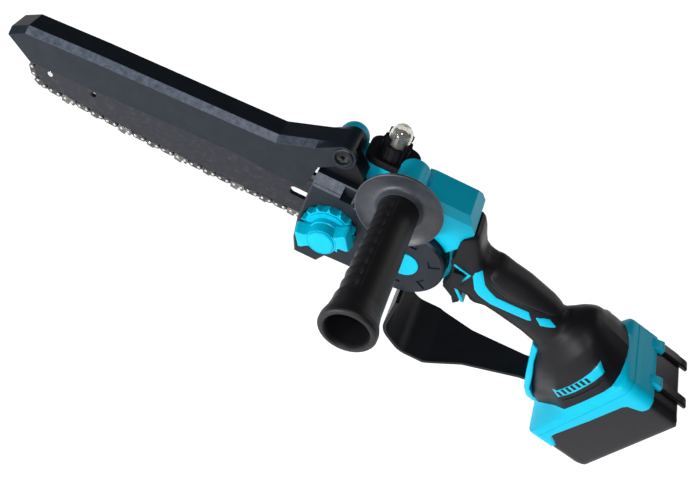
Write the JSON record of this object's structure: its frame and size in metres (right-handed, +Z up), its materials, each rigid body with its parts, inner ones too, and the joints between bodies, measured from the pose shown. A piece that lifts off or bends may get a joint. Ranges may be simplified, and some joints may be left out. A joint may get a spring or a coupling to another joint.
{
  "type": "cordless pruning chainsaw",
  "caption": "Compact battery chainsaw with a pivoting chain guard, side handle, oil primer, trigger grip and slide-on battery, for pruning and limbing.",
  "frame": {"origin": "centre of the bounding box on its bottom plane", "axes": "+X along the guide bar from its nose to the battery, +Y to the saw's right with the sprocket cover and side handle on -Y, +Z up"},
  "size_m": [0.5874, 0.2042, 0.2148],
  "materials": {
    "teal_plastic": "satin moulded plastic",
    "black_plastic": "fine textured moulding",
    "guard_plastic": "spark-eroded texture",
    "shield_plastic": "spark-eroded texture",
    "grip_rubber": "soft overmould",
    "bar_black": "satin black coating",
    "chain_steel": "oiled steel",
    "bright_steel": "bright turned",
    "black_steel": "black oxide",
    "magnet_steel": "plated",
    "motor_laminations": "stacked sheet",
    "clear_plastic": "clear soft bulb",
    "clear_hose": "amber hose",
    "circuit_board": "solder resist",
    "cell_wrap": "shrink wrap"
  },
  "bodies": {
    "housing": {"bar_plate": "black_plastic", "bar_stud": "bright_steel", "bearing_carrier": "bright_steel", "chain_rivets": "chain_steel", "controller_board": "circuit_board", "cover_badge": "teal_plastic", "cutters": "chain_steel", "drive_links": "chain_steel", "end_cap_screws": "bright_steel", "foot_skirt": "teal_plastic", "grip_inlays": "teal_plastic", "grip_pad": "grip_rubber", "guard_bracket": "black_plastic", "guard_screws": "black_steel", "guide_bar": "bar_black", "hand_guard": "black_plastic", "handle_left": "black_plastic", "handle_right": "black_plastic", "motor_bearings": "bright_steel", "motor_end_cap": "black_plastic", "motor_housing": "teal_plastic", "motor_stator": "motor_laminations", "nose_rivets": "bright_steel", "oil_tank": "teal_plastic", "oil_tube": "clear_hose", "primer_collar": "black_plastic", "pump_flange": "black_plastic", "shell_screws": "bright_steel", "sprocket_cover": "black_plastic", "switch_module": "black_plastic", "terminal_block": "black_plastic", "tie_straps": "chain_steel", "vent_strips": "teal_plastic"},
    "guard": {"chain_guard": "guard_plastic"},
    "knob": {"tension_knob": "teal_plastic"},
    "wheel": {"tension_wheel": "teal_plastic"},
    "drive": {"motor_rotor": "magnet_steel", "motor_shaft": "bright_steel", "cooling_fan": "black_plastic", "drive_sprocket": "bright_steel"},
    "nose": {"nose_sprocket": "bright_steel"},
    "side_handle": {"aux_grip": "grip_rubber", "hand_shield": "shield_plastic", "aux_stud": "bright_steel"},
    "tank_cap": {"oil_cap": "teal_plastic"},
    "primer": {"primer_bulb": "clear_plastic"},
    "trigger": {"trigger": "black_plastic", "trigger_stripe": "teal_plastic"},
    "lock": {"lock_button": "black_plastic"},
    "battery": {"battery_top": "teal_plastic", "battery_case": "black_plastic", "battery_cells": "cell_wrap"},
    "release": {"battery_release": "black_plastic"}
  },
  "joints": [
    {"name": "guard_pivot", "type": "hinge", "parent": "housing", "child": "guard", "pos_m": [-0.02766, 0.0509, 0.18314], "axis": [0, 1, 0], "range_deg": [0, 45]},
    {"name": "knob_turn", "type": "hinge", "parent": "housing", "child": "knob", "pos_m": [-0.01666, 0.0159, 0.12064], "axis": [0, -1, 0], "continuous": true},
    {"name": "wheel_turn", "type": "hinge", "parent": "housing", "child": "wheel", "pos_m": [-0.01666, 0.0269, 0.12064], "axis": [0, -1, 0], "continuous": true},
    {"name": "drive_spin", "type": "hinge", "parent": "housing", "child": "drive", "pos_m": [0.04764, 0.0509, 0.12064], "axis": [0, 1, 0], "continuous": true},
    {"name": "nose_spin", "type": "hinge", "parent": "housing", "child": "nose", "pos_m": [-0.26536, 0.0509, 0.12064], "axis": [0, 1, 0], "continuous": true},
    {"name": "side_handle_turn", "type": "hinge", "parent": "housing", "child": "side_handle", "pos_m": [0.02414, -0.0091, 0.18264], "axis": [0, 1, 0], "continuous": true},
    {"name": "tank_cap_turn", "type": "hinge", "parent": "housing", "child": "tank_cap", "pos_m": [-0.02866, 0.0779, 0.17064], "axis": [0, 0, 1], "range_deg": [0, 270]},
    {"name": "primer_press", "type": "slide", "parent": "housing", "child": "primer", "axis": [0, 0, -1], "range_m": [0, 0.0045], "stiffness_N_per_m": 600},
    {"name": "trigger_pull", "type": "slide", "parent": "housing", "child": "trigger", "axis": [0.9711, 0, -0.2385], "range_m": [0, 0.005], "stiffness_N_per_m": 500},
    {"name": "lock_press", "type": "slide", "parent": "housing", "child": "lock", "axis": [0, 1, 0], "range_m": [0, 0.0035], "stiffness_N_per_m": 500},
    {"name": "battery_slide", "type": "slide", "parent": "housing", "child": "battery", "axis": [-0.2385, 0, -0.9711], "range_m": [0, 0.08]},
    {"name": "release_press", "type": "slide", "parent": "battery", "child": "release", "axis": [0.2385, 0, 0.9711], "range_m": [0, 0.003], "stiffness_N_per_m": 600}
  ],
  "couplings": [
    {"joint": "nose_spin", "follows": "drive_spin", "ratio": 1}
  ]
}
